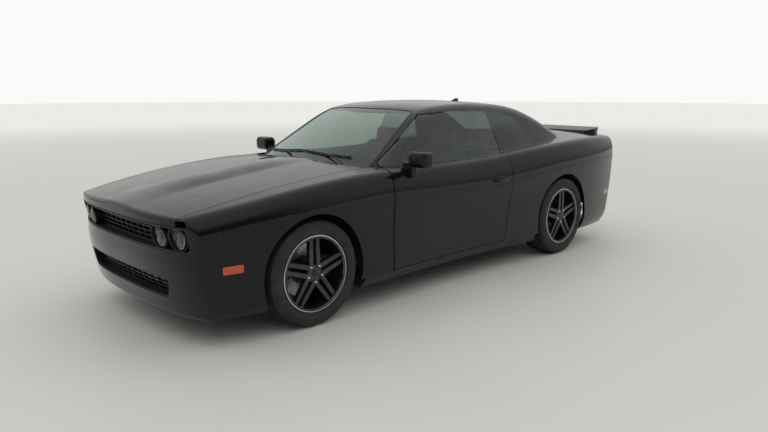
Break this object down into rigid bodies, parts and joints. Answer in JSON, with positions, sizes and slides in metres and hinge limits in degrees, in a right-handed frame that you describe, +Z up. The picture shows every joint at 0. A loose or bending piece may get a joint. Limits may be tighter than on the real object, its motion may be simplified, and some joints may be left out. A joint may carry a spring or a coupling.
{
  "type": "muscle car",
  "caption": "Two-door muscle coupe with long hood, slim grille opening, hinged doors and lids, steered front wheels and a fitted cabin.",
  "frame": {"origin": "on the ground at the middle of the car's length and width", "axes": "+X forward, +Y to the car's left, +Z up"},
  "size_m": [5.0187, 2.17, 1.4497],
  "materials": {
    "paint": "gloss black lacquer",
    "glass": "clear, faintly green",
    "amber": "amber lens",
    "red_lens": "red lens",
    "chassis": "satin black",
    "black_plastic": "grained black",
    "lamp": "clear lens over a bright bowl",
    "iron": "bare cast",
    "steel": "brushed",
    "rim": "dark silver",
    "tyre": "rubber",
    "seat": "dark leather",
    "trim": "soft grained",
    "aluminium": "cast"
  },
  "bodies": {
    "body": {"fender_left": "paint", "fender_right": "paint", "quarter_left": "paint", "quarter_right": "paint", "roof_frame": "paint", "front_bumper": "paint", "rear_bumper": "paint", "windshield": "glass", "rear_window": "glass", "quarter_windows": "glass", "front_markers": "amber", "tail_lamps": "red_lens", "front_structure": "chassis", "radiator_support": "chassis", "floor_pan": "chassis", "rear_structure": "chassis", "grilles": "black_plastic", "headlamps": "lamp", "front_subframe": "iron", "rear_subframe": "iron", "exhaust": "steel", "seat_front_left": "seat", "seat_front_right": "seat", "rear_bench": "seat", "dashboard": "trim", "engine": "aluminium"},
    "hood_lid": {"hood": "paint"},
    "boot_lid": {"trunk_lid": "paint"},
    "left_door": {"door_left": "paint", "door_glass_left": "glass", "mirror_left": "paint"},
    "right_door": {"door_right": "paint", "door_glass_right": "glass", "mirror_right": "paint"},
    "left_upright": {"knuckle_left": "iron"},
    "right_upright": {"knuckle_right": "iron"},
    "steering": {"steering_wheel": "trim"},
    "road_wheel_front_left": {"wheel_front_left": "rim", "tyre_front_left": "tyre"},
    "road_wheel_front_right": {"wheel_front_right": "rim", "tyre_front_right": "tyre"},
    "road_wheel_rear_left": {"wheel_rear_left": "rim", "tyre_rear_left": "tyre"},
    "road_wheel_rear_right": {"wheel_rear_right": "rim", "tyre_rear_right": "tyre"}
  },
  "joints": [
    {"name": "hood_hinge", "type": "hinge", "parent": "body", "child": "hood_lid", "pos_m": [0.945, 0, 0.955], "axis": [0, -1, 0], "range_deg": [0, 55]},
    {"name": "trunk_hinge", "type": "hinge", "parent": "body", "child": "boot_lid", "pos_m": [-1.7, 0, 1.052], "axis": [0, 1, 0], "range_deg": [0, 75]},
    {"name": "left_door_hinge", "type": "hinge", "parent": "body", "child": "left_door", "pos_m": [0.781, 0.916, 0.6], "axis": [0, 0, -1], "range_deg": [0, 68]},
    {"name": "right_door_hinge", "type": "hinge", "parent": "body", "child": "right_door", "pos_m": [0.781, -0.916, 0.6], "axis": [0, 0, 1], "range_deg": [0, 68]},
    {"name": "steer_left", "type": "hinge", "parent": "body", "child": "left_upright", "pos_m": [1.571, 0.716, 0.364], "axis": [0, 0, 1], "range_deg": [-33, 33]},
    {"name": "steer_right", "type": "hinge", "parent": "body", "child": "right_upright", "pos_m": [1.571, -0.716, 0.364], "axis": [0, 0, 1], "range_deg": [-33, 33]},
    {"name": "steering_wheel_turn", "type": "hinge", "parent": "body", "child": "steering", "pos_m": [0.466, 0.372, 0.815], "axis": [-0.9135, 0, 0.4067], "range_deg": [-475.2, 475.2]},
    {"name": "spin_front_left", "type": "hinge", "parent": "left_upright", "child": "road_wheel_front_left", "pos_m": [1.571, 0.802, 0.364], "axis": [0, 1, 0], "continuous": true},
    {"name": "spin_front_right", "type": "hinge", "parent": "right_upright", "child": "road_wheel_front_right", "pos_m": [1.571, -0.802, 0.364], "axis": [0, 1, 0], "continuous": true},
    {"name": "spin_rear_left", "type": "hinge", "parent": "body", "child": "road_wheel_rear_left", "pos_m": [-1.375, 0.802, 0.364], "axis": [0, 1, 0], "continuous": true},
    {"name": "spin_rear_right", "type": "hinge", "parent": "body", "child": "road_wheel_rear_right", "pos_m": [-1.375, -0.802, 0.364], "axis": [0, 1, 0], "continuous": true}
  ],
  "couplings": [
    {"joint": "steer_right", "follows": "steer_left", "ratio": 1},
    {"joint": "steering_wheel_turn", "follows": "steer_left", "ratio": 14.4}
  ]
}
